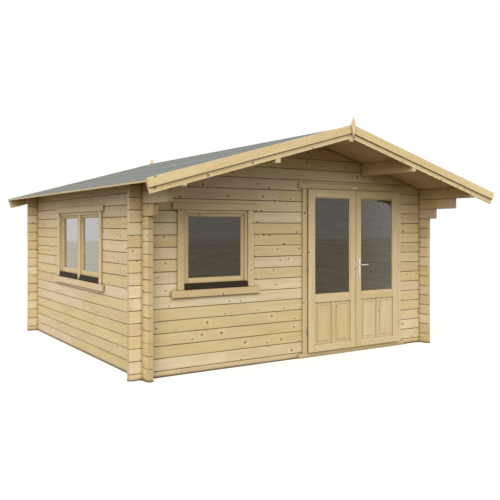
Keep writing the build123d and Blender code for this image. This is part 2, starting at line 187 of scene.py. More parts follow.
def knot_distance(tree, place, share):
    """Distance from a knot's middle, as a share of about five of its radii, and how much
    the knot shows. Every cell of a net of 180 by 140 mm has one point, and the given
    share of them is a knot, 3 to 13 mm in radius, uneven and longer along the grain."""
    net = add(tree, "ShaderNodeVectorMath", {0: place, 1: (5.6, 7.2, 0.0)},
              operation="MULTIPLY")
    cell = add(tree, "ShaderNodeTexVoronoi", {"Vector": net, "Scale": 1.0},
               voronoi_dimensions="2D")
    chance = add(tree, "ShaderNodeSeparateColor", {0: cell.outputs["Color"]}).outputs
    held = add(tree, "ShaderNodeMath", {0: chance[0], 1: share}, operation="LESS_THAN")
    radius = add(tree, "ShaderNodeMapRange", {0: chance[1], 3: 0.022, 4: 0.095})
    radius = add(tree, "ShaderNodeMath", {0: radius, 1: held, 2: 0.0004},
                 operation="MULTIPLY_ADD")
    uneven = add(tree, "ShaderNodeTexNoise", {"Vector": place, "Scale": 55.0,
                 "Detail": 2.0})
    uneven = add(tree, "ShaderNodeMapRange", {0: uneven, 1: 0.25, 2: 0.75, 3: 0.13,
                 4: 0.30})
    away = add(tree, "ShaderNodeMath", {0: cell.outputs["Distance"], 1: radius},
               operation="DIVIDE")
    away = add(tree, "ShaderNodeMath", {0: away, 1: uneven}, operation="MULTIPLY")
    return away, add(tree, "ShaderNodeMapRange", {0: chance[2], 3: 0.55, 4: 1.0})


def drawn_noise(tree, place, stretch, detail):
    """Noise drawn out along the grain. Stretch is one over its size in metres on the
    place's three axes."""
    drawn = add(tree, "ShaderNodeVectorMath", {0: place, 1: stretch},
                operation="MULTIPLY")
    return add(tree, "ShaderNodeTexNoise", {"Vector": drawn, "Scale": 1.0,
               "Detail": detail})


def fill(ramp, stops):
    """Sets a colour ramp's stops, each a position, a colour and how much it covers."""
    while len(ramp.elements) < len(stops):
        ramp.elements.new(0.5)
    for index, (position, colour, cover) in enumerate(stops):
        ramp.elements[index].position = position
        ramp.elements[index].color = (*linear(colour)[:3], cover)


def pine(name, along="X", row="Z", pitch=1.0, shift=0.0, tilt=0.0, seed=0.0, own=False,
         end=False, grooves=False, tones=("#DECB9C", "#D8C48F", "#DCC7A0"), share=0.3):
    """Planed Scots pine: pale, with a soft sheen, fibres 3 mm wide, darker lines 8 mm
    apart and brown knots. The lines are the sine of the height across the board, bent by
    slow noise into long arches and pushed aside round knots. With own, the mesh's
    attributes say where a point lies in its tree, and else Object coordinates. Sawn ends
    show the year rings, 6 mm apart. Painted shade darkens inner corners over 45 mm and,
    with grooves, stain and painted shade darken the joints and the foot over 6 mm."""
    material, tree, surface = begin(name)
    if own:
        place = add(tree, "ShaderNodeAttribute", {}, attribute_name="grain")
        place = place.outputs["Vector"]
        lot = add(tree, "ShaderNodeAttribute", {}, attribute_name="plank").outputs["Fac"]
        tone = lot
    else:
        place, lot, tone, facing, joint = wood_place(tree, along, row, pitch, shift, tilt,
                                                     seed)
    away, strength = knot_distance(tree, place, share)
    bend = drawn_noise(tree, place, (0.8, 5.0, 5.0), 2.0)
    pushed = add(tree, "ShaderNodeMapRange", {0: away, 3: 0.012, 4: 0.0},
                 interpolation_type="SMOOTHSTEP")
    height = add(tree, "ShaderNodeSeparateXYZ", {0: place}).outputs
    field = add(tree, "ShaderNodeMath", {0: bend, 1: 0.10, 2: pushed},
                operation="MULTIPLY_ADD")
    field = add(tree, "ShaderNodeMath", {0: field, 1: height[1]}, operation="ADD")
    field = add(tree, "ShaderNodeMath", {0: height[2], 1: 0.6, 2: field},
                operation="MULTIPLY_ADD")
    line = add(tree, "ShaderNodeMath", {0: field, 1: 2 * math.pi / 0.008},
               operation="MULTIPLY")
    line = add(tree, "ShaderNodeMath", {0: line}, operation="SINE")
    line = add(tree, "ShaderNodeMapRange", {0: line, 1: -0.5, 2: 1.0},
               interpolation_type="SMOOTHSTEP")
    fibre = drawn_noise(tree, place, (6.0, 300.0, 300.0), 2.0)
    cloud = drawn_noise(tree, place, (2.2, 17.0, 17.0), 3.0)
    base = add(tree, "ShaderNodeValToRGB", {0: tone})
    base.color_ramp.interpolation = "CONSTANT"
    fill(base.color_ramp, [(index / len(tones), colour, 1.0)
                           for index, colour in enumerate(tones)])
    streak = drawn_noise(tree, place, (4.0, 70.0, 70.0), 1.0)
    streak = add(tree, "ShaderNodeMapRange", {0: streak, 1: 0.62, 2: 0.78, 3: 0.0,
                 4: 0.35})
    dark = add(tree, "ShaderNodeMapRange", {0: cloud, 1: 0.35, 2: 0.70, 3: 0.0, 4: 0.22})
    dark = add(tree, "ShaderNodeMath", {0: dark, 1: streak}, operation="ADD")
    dark = add(tree, "ShaderNodeMath", {0: line, 1: 0.17, 2: dark},
               operation="MULTIPLY_ADD")
    dark = add(tree, "ShaderNodeMath", {0: fibre, 1: 0.14, 2: dark},
               operation="MULTIPLY_ADD")
    wood = add(tree, "ShaderNodeMix", {0: dark, 6: base, 7: linear("#B8955C")},
               data_type="RGBA").outputs[2]
    knot = add(tree, "ShaderNodeValToRGB", {0: away})
    fill(knot.color_ramp,
         ((0.0, "#96744A", 0.9), (0.13, "#86623A", 0.95), (0.185, "#6B4A2A", 0.95),
          (0.25, "#B59263", 0.5), (0.42, "#E9DAB2", 0.4), (0.9, "#E9DAB2", 0.0)))
    cover = add(tree, "ShaderNodeMath", {0: knot.outputs["Alpha"], 1: strength},
                operation="MULTIPLY")
    wood = add(tree, "ShaderNodeMix", {0: cover, 6: wood, 7: knot},
               data_type="RGBA").outputs[2]
    if end or not own:
        flat = add(tree, "ShaderNodeVectorMath", {0: place, 1: (0.0, 1.0, 1.0)},
                   operation="MULTIPLY")
        heart = add(tree, "ShaderNodeCombineXYZ", {0: 0.0, 1: lot, 2: 0.02})
        rings = add(tree, "ShaderNodeVectorMath", {0: flat, 1: heart},
                    operation="DISTANCE").outputs["Value"]
        rings = add(tree, "ShaderNodeMath", {0: rings, 1: 2 * math.pi / 0.006},
                    operation="MULTIPLY")
        rings = add(tree, "ShaderNodeMath", {0: rings}, operation="SINE")
        rings = add(tree, "ShaderNodeMapRange", {0: rings, 1: -1.0, 3: 0.25, 4: 0.70})
        sawn = add(tree, "ShaderNodeMix", {0: rings, 6: base, 7: linear("#A98551")},
                   data_type="RGBA").outputs[2]
        if end:
            wood = sawn
        else:
            cut = add(tree, "ShaderNodeMath", {0: facing}, operation="ABSOLUTE")
            cut = add(tree, "ShaderNodeMath", {0: cut, 1: 0.8}, operation="GREATER_THAN")
            wood = add(tree, "ShaderNodeMix", {0: cut, 6: wood, 7: sawn},
                       data_type="RGBA").outputs[2]
    # Painted shade: ambient occlusion darkens inner corners within 45 mm towards dark
    # brown.
    painted_corner_shade = add(tree, "ShaderNodeAmbientOcclusion", {"Distance": 0.045}, samples=8)
    painted_corner_shade = add(tree, "ShaderNodeMapRange", {0: painted_corner_shade.outputs["AO"], 1: 0.25, 2: 0.93,
               3: 0.78, 4: 0.0})
    wood = add(tree, "ShaderNodeMix", {0: painted_corner_shade, 6: wood, 7: linear("#5E4727")},
               data_type="RGBA").outputs[2]
    # With grooves, stain and painted shade darken the colour nearly to black, patchily,
    # within 6 mm of a joint or the foot.
    if grooves:
        joint_stain_and_shade = add(tree, "ShaderNodeMapRange", {0: joint, 1: 0.0065, 2: 0.001, 3: 0.0,
                     4: 1.0})
        patchy_joint = add(tree, "ShaderNodeMapRange", {0: cloud, 1: 0.35, 2: 0.6, 3: 0.5,
                   4: 0.9})
        joint_stain_and_shade = add(tree, "ShaderNodeMath", {0: joint_stain_and_shade, 1: patchy_joint}, operation="MULTIPLY")
        wood = add(tree, "ShaderNodeMix", {0: joint_stain_and_shade, 6: wood, 7: linear("#4A3216")},
                   data_type="RGBA").outputs[2]
    tree.links.new(wood, surface.inputs["Base Color"])
    sheen = add(tree, "ShaderNodeMapRange", {0: dark, 3: 0.48, 4: 0.68})
    tree.links.new(sheen.outputs[0], surface.inputs["Roughness"])
    relief = add(tree, "ShaderNodeMath", {0: fibre, 1: 0.6, 2: line},
                 operation="MULTIPLY_ADD")
    bump = add(tree, "ShaderNodeBump", {"Height": relief, "Strength": 0.3,
               "Distance": 0.0005})
    tree.links.new(bump.outputs[0], surface.inputs["Normal"])
    return material


def raise_mesh(name, shape, body, materials, replaces=(), smooth=False):
    """New piece from a shape's points and faces, its normals turned outwards, riding on a
    body. The shape may also pick each face's material and give each point its grain."""
    mesh = bpy.data.meshes.new(name)
    mesh.from_pydata(np.asarray(shape["points"]).tolist(), [], shape["faces"])
    form = bmesh.new()
    form.from_mesh(mesh)
    bmesh.ops.recalc_face_normals(form, faces=form.faces)
    form.to_mesh(mesh)
    form.free()
    if "pick" in shape:
        mesh.polygons.foreach_set("material_index", shape["pick"])
    if "grain" in shape:
        mesh.attributes.new("grain", "FLOAT_VECTOR", "POINT").data.foreach_set(
            "vector", shape["grain"].astype(np.float32).ravel())
        mesh.attributes.new("plank", "FLOAT", "POINT").data.foreach_set(
            "value", shape["lots"].astype(np.float32))
    if smooth:
        mesh.polygons.foreach_set("use_smooth", [True] * len(mesh.polygons))
        mesh.set_sharp_from_angle(angle=math.radians(40))
    for material in materials:
        mesh.materials.append(material)
    piece = bpy.data.objects.new(name, mesh)
    scene.collection.objects.link(piece)
    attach(piece, body)
    if replaces:
        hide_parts(*replaces)


def solid_boxes(name):
    """Lowest and highest corner of each separate solid of a CAD node: points less than
    0.05 mm apart are one, and those that its triangles join get one label, which spreads
    until nothing changes."""
    mesh = nodes[name].data
    points = np.empty(len(mesh.vertices) * 3, np.float32)
    mesh.vertices.foreach_get("co", points)
    corners = np.empty(len(mesh.loops), np.int32)
    mesh.loops.foreach_get("vertex_index", corners)
    points = points.reshape(-1, 3).astype(float)
    _, same = np.unique(np.round(points * 2e4), axis=0, return_inverse=True)
    triangles = same.ravel()[corners].reshape(-1, 3)
    label = np.arange(same.max() + 1)
    while True:
        spread = label.copy()
        np.minimum.at(spread, triangles.ravel(), np.repeat(label[triangles].min(1), 3))
        spread = spread[spread]
        if (spread == label).all():
            break
        label = spread
    labels = label[same.ravel()]
    kinds = np.unique(labels)
    low = np.array([points[labels == kind].min(0) for kind in kinds])
    high = np.array([points[labels == kind].max(0) for kind in kinds])
    return low, high


def planks(low, high, chamfer, seed, along=None, axes=np.eye(3), origin=(0, 0, 0)):
    """Straight planks between two corners each. A rectangle with its corners cut off is
    carried along the longest side, or the given one, through four rings of eight points,
    of which the end ones are drawn in by the chamfer. Axes and origin turn and move them
    all. Each plank gets a place in its tree and a lot, both drawn from the seed."""
    low, high = np.atleast_2d(low), np.atleast_2d(high)
    count = len(low)
    half = (high - low) / 2
    first = half.argmax(1) if along is None else np.full(count, along)
    order = (first[:, None] + np.arange(3)) % 3
    a, b, c = np.take_along_axis(half, order, 1).T
    edge = np.minimum(chamfer, 0.3 * np.minimum(b, c))
    signs = np.array([(1, -1), (1, 1), (1, 1), (-1, 1), (-1, 1), (-1, -1), (-1, -1),
                      (1, -1)])
    cut = np.array([(0, 1), (0, 1), (1, 0), (1, 0)] * 2)
    size = np.stack([b, c], 1)[:, None] - cut * edge[:, None, None]
    drawn = size - edge[:, None, None] * np.where(cut == 1, 0.4, 1.0)
    rings = np.stack([drawn, size, size, drawn], 1) * signs
    stations = np.stack([-a, edge - a, a - edge, a], 1)[:, :, None, None]
    local = np.concatenate([np.broadcast_to(stations, (count, 4, 8, 1)), rings], 3)
    points = np.empty_like(local)
    np.put_along_axis(points, np.broadcast_to(order[:, None, None], local.shape), local,
                      3)
    points = (points + ((low + high) / 2)[:, None, None]) @ np.array(axes) + origin
    start = np.arange(count)[:, None, None] * 32
    ring, spot = np.arange(3)[:, None] * 8, np.arange(8)
    after = (spot + 1) % 8
    quads = np.stack([start + ring + spot, start + ring + after, start + ring + 8 + after,
                      start + ring + 8 + spot], 3).reshape(-1, 4)
    caps = np.concatenate([start[:, 0] + spot, start[:, 0] + 24 + spot])
    chance = np.random.default_rng(seed)
    wide = (c > b)[:, None, None]
    grain = np.stack([local[..., 0] + chance.uniform(0, 40, (count, 1, 1)),
                      np.where(wide, local[..., 2], local[..., 1])
                      + chance.uniform(0, 9, (count, 1, 1)),
                      np.where(wide, local[..., 1], local[..., 2])], 3)
    return {"points": points.reshape(-1, 3), "faces": quads.tolist() + caps.tolist(),
            "pick": [0] * len(quads) + [1] * len(caps), "grain": grain.reshape(-1, 3),
            "lots": np.repeat(chance.random(count), 32)}


def boards_between(low, high, axis, width, gap=0.0002):
    """Corners of boards side by side on an axis, near the given width, filling a box."""
    count = round((high[axis] - low[axis]) / width)
    edges = np.linspace(low[axis], high[axis], count + 1)
    lows, highs = (np.tile(np.array(corner, float), (count, 1))
                   for corner in (low, high))
    lows[:, axis], highs[:, axis] = edges[:-1] + gap, edges[1:] - gap
    return lows, highs


# Bare planed pine: a shade browner than the stained logs, with half as many knots.
board_pine = [pine("pine_boards", own=True, tones=("#E0CAA0", "#DAC394", "#E4D0AA")),
              pine("pine_board_ends", own=True, end=True)]
raise_mesh("floor_bearer_beams", planks(*solid_boxes("floor_bearers"), 0.002, 11),
           "cabin", board_pine, ["floor_bearers"])
raise_mesh("floor_planks",
           planks(*boards_between(*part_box("floor_boards"), 1, 0.121), 0.002, 12, along=0),
           "cabin", board_pine, ["floor_boards"])

# Log walls. Planed pine logs, 58 mm thick and 130 mm high with V-shaped edges, stacked so
# that those of two walls cross at each corner with their ends standing out. They are
# jointed from shorter lengths, so their tone changes along them, under a honey stain.

log_height = 0.130
log_tones = ("#E4D2A6", "#DCC994", "#E6D1AE", "#DBC69B", "#EADBB5", "#E0CD9B")


def dress(names, material):
    """Gives CAD nodes their material."""
    for name in names:
        nodes[name].data.materials.clear()
        nodes[name].data.materials.append(material)


# Stained pine: honey, each length of log a little lighter or darker, with many knots and
# nearly black joints from stain and painted shade. The front and rear logs lie half a log
# higher than the side ones.
for names, along, shift, seed in (
        (["front_wall_left", "front_wall_right", "front_gable"], "X", 0.5, 3.0),
        (["rear_wall"], "X", 0.5, 41.0), (["left_wall"], "Y", 0.0, 17.0),
        (["right_wall"], "Y", 0.0, 77.0)):
    dress(names, pine("pine_" + names[0].replace("wall", "logs"), along, "Z", log_height,
                      shift * log_height, seed=seed, grooves=True, tones=log_tones,
                      share=0.65))

# Purlins. Three planed pine beams that carry the roof boards from gable to gable and on
# under the canopy.

dress(["left_purlin", "ridge_purlin", "right_purlin"],
      pine("pine_purlins", "Y", "X", pitch=0.5, shift=0.25, seed=5.0, tones=log_tones))

# Roof boards. Tongued pine boards, 90 mm wide with V-shaped joints, nailed down each
# slope with the better face to the room and the canopy.

roof_pitch = math.radians(15.6)
level, drop = math.cos(roof_pitch), math.sin(roof_pitch)
board_width, board_thickness = 0.090, 0.019
eaves_courses, eaves_overhang, eaves_strip = 16, 0.345, 0.012
cabin_half = -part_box("left_wall")[0].x
ridge_height = eaves_courses * log_height + cabin_half * math.tan(roof_pitch)
slope_length = (cabin_half + eaves_overhang) / level
for side, sign in (("left", -1), ("right", 1)):
    low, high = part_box("roof_boards_" + side)
    boards = boards_between(
        (0, low.y, 0), (slope_length - eaves_strip - 0.0005, high.y, board_thickness),
        1, board_width)
    raise_mesh("soffit_boards_" + side,
               planks(*boards, 0.003, 21 + sign, along=0,
                      axes=((sign * level, 0, -drop), (0, 1, 0),
                            (sign * drop, 0, level)),
                      origin=(0, 0, ridge_height)),
               "cabin", board_pine, ["roof_boards_" + side])

# Felt. Bitumen felt rolled with slate grit, 3 mm thick, in strips a metre wide that lap
# down each slope and are folded over the ridge.

# Mineral felt: dull speckled grey. Its slate grit of 1 to 2 mm is drawn 4 mm wide so that
# it shows, over faint clouds half a metre across that the rolling leaves.
mineral_felt, tree, surface = begin("mineral_felt")
where = add(tree, "ShaderNodeTexCoord", {}).outputs["Object"]
grit = add(tree, "ShaderNodeTexVoronoi", {"Vector": where, "Scale": 1 / 0.004})
pick = add(tree, "ShaderNodeSeparateColor", {0: grit.outputs["Color"]})
grey = add(tree, "ShaderNodeValToRGB", {0: pick})
fill(grey.color_ramp, ((0.0, "#4B4D49", 1.0), (0.35, "#646661", 1.0),
                       (0.8, "#72746F", 1.0), (1.0, "#95968F", 1.0)))
cloud = add(tree, "ShaderNodeTexNoise", {"Vector": where, "Scale": 2.3, "Detail": 4.0})
shade = add(tree, "ShaderNodeMapRange", {0: cloud, 1: 0.3, 2: 0.7, 3: 0.0, 4: 0.25})
mixed = add(tree, "ShaderNodeMix", {0: shade, 6: grey, 7: linear("#676963")},
            data_type="RGBA")
tree.links.new(mixed.outputs[2], surface.inputs["Base Color"])
surface.inputs["Roughness"].default_value = 0.93
bump = add(tree, "ShaderNodeBump", {"Height": grit.outputs["Distance"],
           "Strength": 0.6, "Distance": 0.0012})
tree.links.new(bump.outputs[0], surface.inputs["Normal"])


def lofted(rings):
    """Closed form through rings of points: four-sided faces join each ring to the next,
    and one face fills the first ring and one the last."""
    count, sides = rings.shape[:2]
    place = np.arange(count - 1)[:, None] * sides + np.arange(sides)
    after = np.roll(place, -1, 1)
    quads = np.stack([place, after, after + sides, place + sides], 2).reshape(-1, 4)
    last = (count - 1) * sides
    return {"points": rings.reshape(-1, 3), "faces": quads.tolist()
            + [list(range(sides)), list(range(last, last + sides))]}


under, over, lap = board_thickness + 0.0003, board_thickness + 0.004, 0.0025
laps_from_eaves = (0.86, 1.72, 2.31)
for side, sign in (("left", -1), ("right", 1)):
    low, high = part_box("roof_felt_" + side)
    profile = [(0.0, under), (0.0, over - lap)]
    for start in laps_from_eaves:
        profile += [(start, over - lap), (start, over), (start + 0.10, over),
                    (start + 0.13, over - lap)]
    run, height = np.array(profile[:-2]).T
    run = slope_length - run
    section = np.stack([sign * (run * level + height * drop),
                        ridge_height - run * drop + height * level], 1)
    fold = [(0.0, ridge_height + top / level) for top in (over, under)]
    section = np.concatenate([section, fold])
    rings = np.stack([np.insert(section, 1, y, axis=1) for y in (low.y, high.y)])
    raise_mesh("felt_strips_" + side, lofted(rings), "cabin", [mineral_felt],
               ["roof_felt_" + side])

# Verge and eaves. Doubled pine boards close both gables, the outer one narrower so that
# the pair casts a line of shadow, with a kite-shaped finial over their joint. A thin
# strip covers the ends of the roof boards.

for side, tilt in (("left", roof_pitch), ("right", -roof_pitch)):
    for part, seed in (("bargeboard", 7.0), ("cover_board", 19.0)):
        dress([f"{end}_{part}_{side}" for end in ("front", "rear")],
              pine(f"pine_{part}_{side}", "X", "Y", pitch=3.0, tilt=tilt, seed=seed,
                   tones=("#E0CD9C", "#DCC894"), share=0.6))
    dress(["eaves_strip_" + side],
          pine("pine_eaves_" + side, "Y", "X", pitch=9.0, seed=2.0, tones=("#E6D6AE",)))
dress(["front_finial", "rear_finial"],
      pine("pine_finials", "Z", "Y", pitch=9.0, seed=2.0, tones=("#E4D4B0",), share=0.0))

# Windows. Each has a frame let into the logs, boards round it inside and out, a sash with
# one pane, and under the sash a sloping hardwood bar stained nearly black.

# Sanded pine: picked for joinery, so nearly free of knots and even in tone.
joinery_tones = ("#DCCA9C", "#DAC693", "#E0CEA2")
fine_pine = [pine("pine_joinery", own=True, tones=joinery_tones, share=0.12),
             pine("pine_joinery_ends", own=True, end=True, tones=joinery_tones)]


def mitred_ring(low, high, depth, face, out):
    """Quarter-round bead round an opening, mitred at its corners: a section of 12 by
    12 mm with its arc of radius 10 mm towards the opening, carried round four corners.
    Depth is the axis that the opening faces along, and out the way the bead grows."""
    turn = np.linspace(0, math.pi / 2, 6)
    arc = np.stack([0.002 + 0.010 * np.cos(turn), 0.002 + 0.010 * np.sin(turn)], 1)
    section = np.concatenate([[(0.0, 0.0), (0.012, 0.0)], arc, [(0.0, 0.012)]])
    a, b = [axis for axis in range(3) if axis != depth]
    signs = np.array([(1, 1), (-1, 1), (-1, -1), (1, -1)])
    corners = np.where(signs > 0, low[[a, b]], high[[a, b]])
    count = len(section)
    points = np.empty((4, count, 3))
    points[:, :, [a, b]] = corners[:, None] + signs[:, None] * section[None, :, :1]
    points[:, :, depth] = face + out * section[:, 1]
    around = np.array([0, high[a] - low[a], high[a] - low[a] + high[b] - low[b],
                       2 * (high[a] - low[a]) + high[b] - low[b]])
    grain = np.stack(np.broadcast_arrays(around[:, None], section[None, :, 0],
                                         section[None, :, 1]), 2)
    place = np.arange(4)[:, None] * count + np.arange(count)
    quads = np.stack([place, np.roll(place, -1, 1), np.roll(np.roll(place, -1, 0), -1, 1),
                      np.roll(place, -1, 0)], 2).reshape(-1, 4)
    return {"points": points.reshape(-1, 3), "faces": quads.tolist(),
            "grain": grain.reshape(-1, 3), "lots": np.full(4 * count, 0.4)}


def joined(shapes):
    """Several shapes as one."""
    starts = np.cumsum([0] + [len(shape["points"]) for shape in shapes])
    return {"points": np.concatenate([shape["points"] for shape in shapes]),
            "faces": [[corner + int(start) for corner in face]
                      for start, shape in zip(starts, shapes) for face in shape["faces"]],
            **{key: np.concatenate([shape[key] for shape in shapes])
               for key in ("grain", "lots") if key in shapes[0]}}


def glazing_beads(name, glass, depth, body):
    """Beads on both faces of every pane of a glass node."""
    rebate = 0.008
    rings = []
    for low, high in zip(*solid_boxes(glass)):
        for face, out in ((low[depth], -1), (high[depth], 1)):
            rings.append(mitred_ring(low + rebate, high - rebate, depth, face, out))
    raise_mesh(name, joined(rings), body, fine_pine[:1])


for wall, depth in (("front", 1), ("side", 0)):
    for part, node, chamfer, seed, slot, wood in (
            ("boards", "trim", 0.0025, 31, "trim", board_pine),
            ("jambs", "frame", 0.002, 33, "trim", fine_pine),
            ("sash_bars", "sash", 0.002, 35, "joinery", fine_pine)):
        raise_mesh(f"{wall}_window_{part}",
                   planks(*solid_boxes(f"{wall}_window_{node}"), chamfer, seed + depth),
                   "cabin", wood, [f"{wall}_window_{node}"])
    glazing_beads(wall + "_window_beads", wall + "_window_glass", depth, "cabin")

# Stained oak: nearly black and matt, with brown fibres 4 mm wide and 110 mm long.
stained, tree, surface = begin("black_stained_oak")
where = add(tree, "ShaderNodeTexCoord", {}).outputs["Object"]
fibres = drawn_noise(tree, where, (9.0, 9.0, 260.0), 3.0)
tint = add(tree, "ShaderNodeMix", {0: fibres, 6: linear("#211A10"),
           7: linear("#3A2F1F")}, data_type="RGBA")
tree.links.new(tint.outputs[2], surface.inputs["Base Color"])
surface.inputs["Roughness"].default_value = 0.75
surface.inputs["Specular IOR Level"].default_value = 0.2
bump = add(tree, "ShaderNodeBump", {"Height": fibres, "Strength": 0.3,
           "Distance": 0.0005})
tree.links.new(bump.outputs[0], surface.inputs["Normal"])
dress(["front_window_drip_bar", "side_window_drip_bar"], stained)

# Door. Two framed leaves with a pane above and two raised panels below, hung in a pine
# frame with a threshold and boards round it.

raise_mesh("door_surround_boards", planks(*solid_boxes("door_trim"), 0.0025, 41), "cabin",
           board_pine, ["door_trim"])
dress(["door_frame"], pine("pine_door_frame", "Z", "Y", tones=joinery_tones, share=0.12))
dress(["door_threshold"], pine("pine_threshold", "X", "Z", seed=9.0))


def raised_panel(low, high, seed):
    """Raised panel, the same on both faces. Rectangles drawn in by each inset lie at the
    given share of half its thickness: a border 44 mm wide that slopes up from the groove,
    a quirk 3 mm wide, and the field."""
    half = (high[1] - low[1]) / 2
    steps = ((0.0, 0.57), (0.044, 0.68), (0.045, 0.45), (0.048, 0.45), (0.049, 0.96),
             (0.051, 1.0))
    signs = np.array([(-1, -1), (1, -1), (1, 1), (-1, 1)])
    middle, size = (low + high)[[0, 2]] / 2, (high - low)[[0, 2]] / 2
    rings = np.array([np.insert(middle + signs * (size - inset), 1, half * rise, axis=1)
                      for inset, rise in steps])
    rings = np.concatenate([rings[::-1] * (1, -1, 1), rings])
    rings[..., 1] += (low[1] + high[1]) / 2
    points = rings.reshape(-1, 3)
    return {**lofted(rings), "grain": points[:, [2, 0, 1]] + (seed, 0, 0),
            "lots": np.full(len(points), seed * 0.37 % 1)}


for side in ("left", "right"):
    raise_mesh(side + "_door_bars",
               planks(*solid_boxes(side + "_door_leaf"), 0.003, 42 + len(side)),
               side + "_door", fine_pine, [side + "_door_leaf"])
    glazing_beads(side + "_door_beads", side + "_door_glass", 1, side + "_door")
    panels = solid_boxes(side + "_door_panels")
    raise_mesh(side + "_door_fields",
               joined([raised_panel(low, high, 3.1 * index + len(side))
                       for index, (low, high) in enumerate(zip(*panels))]),
               side + "_door", fine_pine[:1], [side + "_door_panels"])

# Seals. A soft strip of dark rubber closes the gap round the leaves on the frame's side.
# Its near black also stands in for the shade in that gap: painted shade.


def clouded(name, colours, scale, roughness):
    """Material whose colour wavers between two tones, scale times in a metre."""
    material, tree, surface = begin(name)
    where = add(tree, "ShaderNodeTexCoord", {}).outputs["Object"]
    cloud = add(tree, "ShaderNodeTexNoise", {"Vector": where, "Scale": scale})
    tint = add(tree, "ShaderNodeMix", {0: cloud, 6: linear(colours[0]),
               7: linear(colours[1])}, data_type="RGBA")
    tree.links.new(tint.outputs[2], surface.inputs["Base Color"])
    surface.inputs["Roughness"].default_value = roughness
    return material


# Rubber: nearly black and dull, with the faint brown bloom of age in patches of 11 mm.
# Its near black is partly painted shade in the gap round the leaves.
seal_gap_shade = clouded("dark_rubber_gap_shade", ("#2A2119", "#3B2F24"), 90.0, 0.7)
leaf_low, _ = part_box("left_door_leaf")
_, leaf_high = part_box("right_door_leaf")
trim_low, trim_high = solid_boxes("door_trim")
jamb_faces = sorted(edge for edge in (*trim_low[2:, 0], *trim_high[2:, 0])
                    if abs(edge - leaf_low.x) < 0.01 or abs(edge - leaf_high.x) < 0.01)
slack, jamb_strip, head_strip = 0.0002, 0.0042, 0.0038
first, last = jamb_faces[0] + slack, jamb_faces[-1] - slack
head = trim_low[:, 2].max() - slack
front, back = trim_low[:, 1].min() + 0.002, leaf_high.y - 0.002
# Painted shade: the dark seals stand in for the shadow in the gap round the leaves.
raise_mesh("door_seals_gap_shade", planks(
    [(first, front, leaf_low.z), (last - jamb_strip, front, leaf_low.z),
     (first + jamb_strip + 0.0003, front, head - head_strip)],
    [(first + jamb_strip, back, head), (last, back, head),
     (last - jamb_strip - 0.0003, back, head)],
    0.001, 51), "cabin", [seal_gap_shade, seal_gap_shade])

# Glass. Clear float panes, 4 mm thick, held in the sashes and the leaves by the beads on
# both faces.

# Coated float glass: faintly warm, and a clearer mirror of the sky the more aslant it is
# seen. It lets in a quarter of the daylight, so that the room behind it stays dim.
pane, tree, surface = begin("float_glass")
surface.inputs["Base Color"].default_value = linear("#DAD6CE")
surface.inputs["Roughness"].default_value = 0.0
surface.inputs["IOR"].default_value = 1.5
surface.inputs["Transmission Weight"].default_value = 1.0
slant = add(tree, "ShaderNodeLayerWeight", {"Blend": 0.5}).outputs["Facing"]
coat = add(tree, "ShaderNodeMapRange", {0: slant, 1: 0.25, 2: 0.45})
tree.links.new(coat.outputs[0], surface.inputs["Coat Weight"])
surface.inputs["Coat IOR"].default_value = 3.2
surface.inputs["Coat Roughness"].default_value = 0.0
shadow = add(tree, "ShaderNodeLightPath", {}).outputs["Is Shadow Ray"]
clear = add(tree, "ShaderNodeBsdfTransparent", {"Color": linear("#8C8C86")})
mixed = add(tree, "ShaderNodeMixShader", {0: shadow, 1: surface, 2: clear})
tree.links.new(mixed.outputs[0], tree.nodes["Material Output"].inputs["Surface"])
dress(["front_window_glass", "side_window_glass", "left_door_glass",
       "right_door_glass"], pane)

# Hinges. Zinc-plated lift-off hinges: the lower barrel is screwed to the frame, and the
# upper one to the leaf drops over its pin.


def metal(name, colours, roughness, grain):
    """Metal whose roughness and tint waver over grain metres, as plating and brushing
    leave them."""
    material, tree, surface = begin(name)
    surface.inputs["Metallic"].default_value = 1.0
    where = add(tree, "ShaderNodeTexCoord", {}).outputs["Object"]
    cloud = add(tree, "ShaderNodeTexNoise", {"Vector": where, "Scale": 1 / grain,
                "Detail": 3.0})
    dull = add(tree, "ShaderNodeMapRange", {0: cloud, 1: 0.3, 2: 0.7,
               3: roughness - 0.06, 4: roughness + 0.08})
    tree.links.new(dull.outputs[0], surface.inputs["Roughness"])
    tint = add(tree, "ShaderNodeMix", {0: cloud, 6: linear(colours[0]),
               7: linear(colours[1])}, data_type="RGBA")
    tree.links.new(tint.outputs[2], surface.inputs["Base Color"])
    return material


def turned(profile, centre, axis, sides=28):
    """Round piece: (radius, height) points turned about an axis through the centre."""
    profile = np.array(profile)
    a, b = [other for other in range(3) if other != axis]
    angle = np.linspace(0, 2 * math.pi, sides, endpoint=False)
    rings = np.empty((len(profile), sides, 3))
    rings[..., axis] = profile[:, 1:]
    rings[..., a] = profile[:, :1] * np.cos(angle)
    rings[..., b] = profile[:, :1] * np.sin(angle)
    return lofted(rings + centre)


